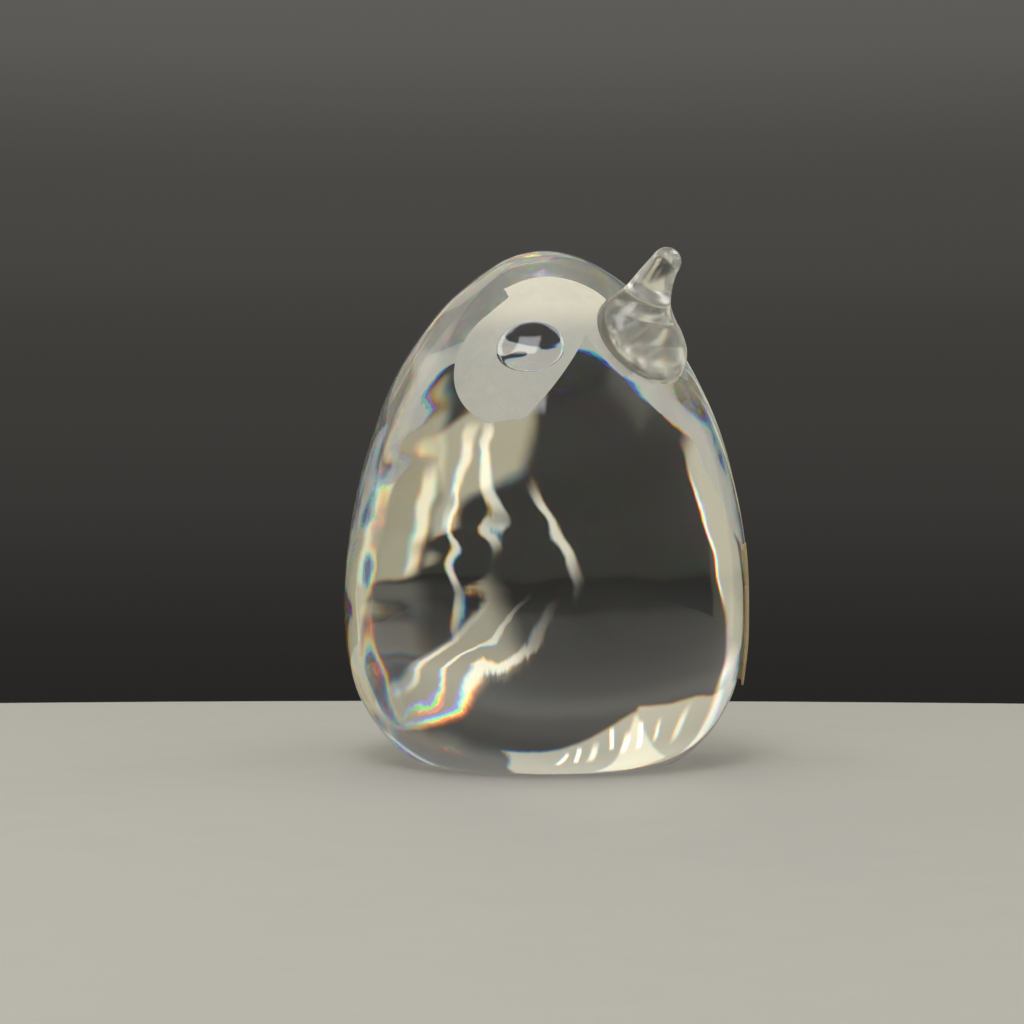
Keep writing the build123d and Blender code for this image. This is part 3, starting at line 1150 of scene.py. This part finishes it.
def floor_material(name, colour):
    """Plain pale floor with a faint mottle and a painted pool of light: painted shade darkens it far from
    the figurine.
    """
    material, tree, shader, _ = new_material(name)
    film = group_in(tree, handling_film, size=0.05, amount=0.25)["Mask"]
    grain = group_in(tree, fine_grain, size=0.0011)
    dull, painted_shade = ([part * c for c in colour] for part in (0.93, LIGHT_POOL_LEFT))
    place = tree.nodes.new("ShaderNodeTexCoord").outputs["Object"]
    away = vector_math(tree, "LENGTH", place, (0, 0, 0), 1)
    shade = blended(tree, film, colour, dull)
    # Painted shade: the floor's colour darkens away from the figurine, which leaves a painted pool of light
    # round it.
    ins = {
        "Base Color": blended(tree, remap(tree, away, *LIGHT_POOL_FADE, True), shade, painted_shade),
        "Roughness": ranged(tree, film, 0.55, 0.7),
        "Normal": bumped(tree, grain["Height"], strength=0.15, distance=0.0002),
    }
    feed(tree, shader, ins)
    return material


def shared_material(name, make, *values):
    """A material that several pieces use, made once."""
    return bpy.data.materials.get(name) or make(name, *values)


def dressed(piece, nodes):
    """Ties a finished piece to the frame."""
    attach(piece, "root")
    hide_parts(*nodes)


# Operators.

shared_skin = {}


def skin_of(scene):
    """The worked skin, made once for the egg and the frosted face that fits it."""
    if "skin" not in shared_skin:
        shared_skin["skin"] = worked_skin(scene)
    return shared_skin["skin"]


class PENGUIN_OT_body(bpy.types.Operator):
    """Make the crystal egg with its polished eyes"""

    bl_idname = "penguin.body"
    bl_label = "Crystal body"

    def execute(self, context):
        scene = context.scene
        shared_skin.clear()
        glass = shared_material("clear_crystal", crystal_material, scene.penguin_body.glass, 0.0)
        join = shared_material("fused_join", join_material)
        dressed(body_piece(scene, skin_of(scene), (glass, join)), ["body"])
        return {"FINISHED"}


class PENGUIN_OT_frost(bpy.types.Operator):
    """Make both halves of the frosted face"""

    bl_idname = "penguin.frost"
    bl_label = "Frosted face"

    def execute(self, context):
        scene = context.scene
        face = scene.penguin_face
        frost = shared_material("blasted_crystal", frost_material, face.frost, face.cheek)
        join = shared_material("fused_join", join_material)
        for zone, name, node in (
            (FROST_RIGHT, "frosted_face_right", "frost_right"),
            (FROST_LEFT, "frosted_face_left", "frost_left"),
        ):
            dressed(frost_piece(scene, skin_of(scene), zone, name, (frost, join)), [node])
        return {"FINISHED"}


class PENGUIN_OT_beak(bpy.types.Operator):
    """Make the applied beak"""

    bl_idname = "penguin.beak"
    bl_label = "Beak"

    def execute(self, context):
        scene = context.scene
        look = (scene.penguin_body.glass, scene.penguin_beak.haze)
        glass = shared_material("drawn_crystal", crystal_material, *look)
        join = shared_material("fused_join", join_material)
        dressed(beak_piece(scene, (glass, join)), ["beak"])
        return {"FINISHED"}


class PENGUIN_OT_sticker(bpy.types.Operator):
    """Make the blank paper sticker"""

    bl_idname = "penguin.sticker"
    bl_label = "Sticker"

    def execute(self, context):
        scene = context.scene
        look = scene.penguin_sticker
        paper = shared_material("aged_paper", paper_material, look.paper, look.stain)
        dressed(sticker_piece(scene, (paper,)), ["label"])
        return {"FINISHED"}


# Grey of the backdrop by elevation in degrees, and its tone.
BACKDROP = {-90: 0.02, -5: 0.02, 3: 0.045, 8: 0.066, 13: 0.11, 17: 0.07, 24: 0.045, 36: 0.18, 75: 0.32}
BACKDROP_TONE = np.array((1.0, 0.97, 0.89))

# Height that the lamps face, and the floor's distance under the foot.
LAMP_AIM = 0.04
FLOOR_DROP = 0.00002
FLOOR_SIDES = 256

# Soft boxes: azimuth right of the view and elevation seen from the figurine, roll, distance in
# metres, width and height as angles in degrees, brightness, share of the box that fades to its
# edges, and warmth. Boxes named in UNMIRRORED light the pieces but leave no mirror image on them;
# those in UNSEEN are not seen through the glass either.
SOFT_BOXES = {
    "band_right": (26.5, 15.2, -35, 2.5, 56, 12, 0.32, 0.30, 0.34),
    "band_edge": (19.6, 15.0, -35, 2.45, 58, 1.8, 0.72, 0.70, 0.24),
    "band_middle": (21.9, 12.7, -36, 2.42, 52, 1.0, 0.60, 0.60, 0.24),
    "band_foot": (26.0, 10.5, -38, 2.4, 44, 2.0, 0.52, 0.80, 0.24),
    "post_right": (17, -6, -23, 2.4, 2.6, 18, 0.70, 0.80, 0.26),
    "low_card_1": (16, -17, -20, 2.5, 25, 16, 0.40, 0.30, 0.36),
    "low_card_2": (41, -13.5, -6, 2.5, 33, 25, 0.36, 0.30, 0.39),
    "faint_card": (38, 3, 0, 2.6, 36, 13, 0.09, 0.50, 0.20),
    "low_strip_1": (11, -13, -24, 2.4, 3.0, 18, 0.72, 0.70, 0.26),
    "low_strip_2": (19, -15, 14, 2.4, 6.0, 13, 0.63, 0.70, 0.29),
    "low_strip_3": (30, -12, -16, 2.4, 7.0, 18, 0.59, 0.70, 0.34),
    "low_strip_4": (-2, -7.5, -40, 2.4, 2.2, 15, 0.70, 0.70, 0.26),
    "low_strip_5": (-42, -9, -30, 2.1, 2.0, 22, 0.80, 0.60, 0.20),
    "low_left": (-54, -7, -28, 2.2, 22, 42, 0.50, 0.25, 0.30),
    "side_right": (61, 3, 0, 2.2, 30, 64, 0.45, 0.35, 0.39),
    "side_high": (85, 46, 0, 2.0, 60, 26, 0.80, 0.50, 0.24),
    "side_left": (-62, 24, 0, 2.0, 24, 40, 0.75, 0.40, 0.14),
    "panel_left": (-39.2, 29.5, 3, 2.2, 40, 30, 0.50, 0.08, 0.32),
    "panel_middle": (-11.7, 34.3, -26, 2.25, 34, 30, 0.45, 0.10, 0.28),
    "strip_1": (-37, 22, 12, 2.0, 4.0, 14, 0.55, 0.80, 0.26),
    "strip_2": (-28, 21, 3, 2.0, 2.0, 9, 0.72, 0.80, 0.20),
    "strip_3": (-22.5, 21.5, -4, 2.0, 1.8, 10, 0.85, 0.50, 0.14),
    "strip_4": (-18.5, 23, 5, 2.0, 2.4, 9, 0.90, 0.80, 0.14),
    "strip_5": (-14.5, 21, -6, 2.0, 1.4, 8, 0.85, 0.50, 0.14),
    "strip_6": (-10, 25, 8, 2.0, 2.6, 10, 0.70, 0.80, 0.20),
    "strip_7": (-6, 25.5, 0, 2.0, 1.5, 8, 0.80, 0.50, 0.14),
    "strip_8": (-2.5, 27, 10, 2.0, 1.6, 8, 0.80, 0.60, 0.14),
    "fill_front": (185, 15, 0, 1.5, 110, 60, 0.50, 0.30, 0.0),
    "rim_light": (192, 60, 0, 1.2, 18, 34, 5.5, 0.30, 0.0),
    "overhead": (180, 84, 0, 1.2, 64, 50, 1.3, 0.0, 0.05),
}
UNMIRRORED = ("fill_front", "overhead")
UNSEEN = ("fill_front",)


def soft_box(name, right, ahead, azimuth, elevation, roll, distance, wide, tall, brightness, fade, warmth):
    """A large soft lamp that faces the figurine and stays out of the camera's direct view."""
    a, e = radians(azimuth), radians(elevation)
    way = right * (np.sin(a) * np.cos(e)) + ahead * (np.cos(a) * np.cos(e)) + Vector((0, 0, np.sin(e)))
    lamp = bpy.data.lights.new(name, "AREA")
    lamp.shape = "RECTANGLE"
    lamp.size = 2 * distance * np.tan(radians(wide) / 2)
    lamp.size_y = 2 * distance * np.tan(radians(tall) / 2)
    lamp.energy = brightness * pi * lamp.size * lamp.size_y
    lamp.color = (1.0, 1.0 - 0.25 * warmth, 1.0 - warmth)
    if fade:
        lamp.use_nodes = True
        tree = lamp.node_tree
        tree.nodes.clear()
        across = tree.nodes.new("ShaderNodeNewGeometry").outputs["Parametric"]
        across = put(tree, "ShaderNodeSeparateXYZ", {0: across}).outputs
        inward = [remap(tree, math(tree, "PINGPONG", across[k], 0.5), 0.0, fade / 2, True) for k in range(2)]
        glow = put(tree, "ShaderNodeEmission", {"Strength": math(tree, "MULTIPLY", *inward)})
        put(tree, "ShaderNodeOutputLight", {"Surface": glow.outputs[0]})
    made = bpy.data.objects.new(name, lamp)
    made.location = Vector((0, 0, LAMP_AIM)) + way * distance
    facing = (-way).to_track_quat("-Z", "Y")
    made.rotation_euler = (facing @ Quaternion((0, 0, 1), radians(roll))).to_euler()
    made.visible_camera = False
    made.visible_glossy = name not in UNMIRRORED
    made.visible_transmission = name not in UNSEEN
    bpy.context.scene.collection.objects.link(made)


def floor_object(stage, ahead):
    """The round floor, whose middle lies toward the camera."""
    bm = bmesh.new()
    bmesh.ops.create_circle(bm, cap_ends=True, segments=FLOOR_SIDES, radius=stage.floor_radius)
    bmesh.ops.translate(bm, verts=bm.verts, vec=Vector((0, 0, -FLOOR_DROP)) - stage.floor_near * ahead)
    mesh = bpy.data.meshes.new("floor")
    bm.to_mesh(mesh)
    bm.free()
    mesh.materials.append(floor_material("pale_floor", stage.floor))
    return bpy.data.objects.new("floor", mesh)


def studio_world():
    """Plain backdrop whose grey goes by elevation."""
    world = bpy.data.worlds.new("studio")
    world.use_nodes = True
    tree = world.node_tree
    tree.nodes.clear()
    way = tree.nodes.new("ShaderNodeTexCoord").outputs["Generated"]
    upward = put(tree, "ShaderNodeSeparateXYZ", {0: way}).outputs[2]
    ramp = put(tree, "ShaderNodeValToRGB", {0: remap(tree, upward, -1.0, 1.0)})
    ramp.color_ramp.interpolation = "EASE"
    stops = ramp.color_ramp.elements
    while len(stops) < len(BACKDROP):
        stops.new(0.5)
    for stop, (elevation, grey) in zip(stops, BACKDROP.items()):
        stop.position = 0.5 + 0.5 * np.sin(radians(elevation))
        stop.color = (*(grey * BACKDROP_TONE), 1)
    sky = put(tree, "ShaderNodeBackground", {"Color": ramp.outputs[0], "Strength": 1.0})
    put(tree, "ShaderNodeOutputWorld", {"Surface": sky.outputs[0]})
    return world


def camera_object(stage, right, ahead):
    """The camera, level and aimed a little left of the figurine's axis."""
    lens = bpy.data.cameras.new("camera")
    lens.lens = stage.lens
    lens.sensor_width = 36.0
    lens.clip_start = 0.01
    camera = bpy.data.objects.new("camera", lens)
    middle = Vector((0, 0, stage.camera_height))
    camera.location = middle - ahead * stage.camera_distance
    aim = middle - right * stage.aside
    camera.rotation_euler = (aim - camera.location).to_track_quat("-Z", "Y").to_euler()
    return camera


class PENGUIN_OT_stage(bpy.types.Operator):
    """Make the floor, the soft light and the camera"""

    bl_idname = "penguin.stage"
    bl_label = "Stage"

    def execute(self, context):
        scene = context.scene
        stage = scene.penguin_stage
        azimuth = stage.camera_azimuth
        right = Vector((np.cos(azimuth), -np.sin(azimuth), 0))
        ahead = Vector((np.sin(azimuth), np.cos(azimuth), 0))
        floor = floor_object(stage, ahead)
        scene.collection.objects.link(floor)
        scene.world = studio_world()
        scene.camera = camera_object(stage, right, ahead)
        scene.collection.objects.link(scene.camera)
        for name, settings in SOFT_BOXES.items():
            soft_box(name, right, ahead, *settings)
        scene.view_settings.view_transform = "Standard"
        # Light runs to and fro inside the solid glass and across its clear joins.
        scene.cycles.max_bounces = 48
        scene.cycles.glossy_bounces = 32
        scene.cycles.transmission_bounces = 48
        scene.cycles.transparent_max_bounces = 96
        return {"FINISHED"}


class PENGUIN_PT_panel(bpy.types.Panel):
    """Lists the penguin's pieces"""

    bl_idname = "PENGUIN_PT_panel"
    bl_label = "Crystal penguin"
    bl_space_type = "VIEW_3D"
    bl_region_type = "UI"
    bl_category = "Penguin"

    def draw(self, context):
        for operator in OPERATORS:
            self.layout.operator(operator.bl_idname)


GROUPS = {
    "penguin_body": PenguinBody,
    "penguin_face": PenguinFace,
    "penguin_beak": PenguinBeak,
    "penguin_sticker": PenguinSticker,
    "penguin_stage": PenguinStage,
}
OPERATORS = (PENGUIN_OT_body, PENGUIN_OT_frost, PENGUIN_OT_beak, PENGUIN_OT_sticker, PENGUIN_OT_stage)


def register():
    """Registers the classes and gives the scene its settings."""
    for cls in (*GROUPS.values(), *OPERATORS, PENGUIN_PT_panel):
        bpy.utils.register_class(cls)
    for name, cls in GROUPS.items():
        setattr(bpy.types.Scene, name, PointerProperty(type=cls))


def unregister():
    """Takes the settings and the classes away again."""
    for name in GROUPS:
        delattr(bpy.types.Scene, name)
    for cls in reversed((*GROUPS.values(), *OPERATORS, PENGUIN_PT_panel)):
        bpy.utils.unregister_class(cls)


def main():
    """Makes every piece and the stage."""
    register()
    bpy.ops.penguin.body()
    bpy.ops.penguin.frost()
    bpy.ops.penguin.beak()
    bpy.ops.penguin.sticker()
    bpy.ops.penguin.stage()


if __name__ == "__main__":
    main()
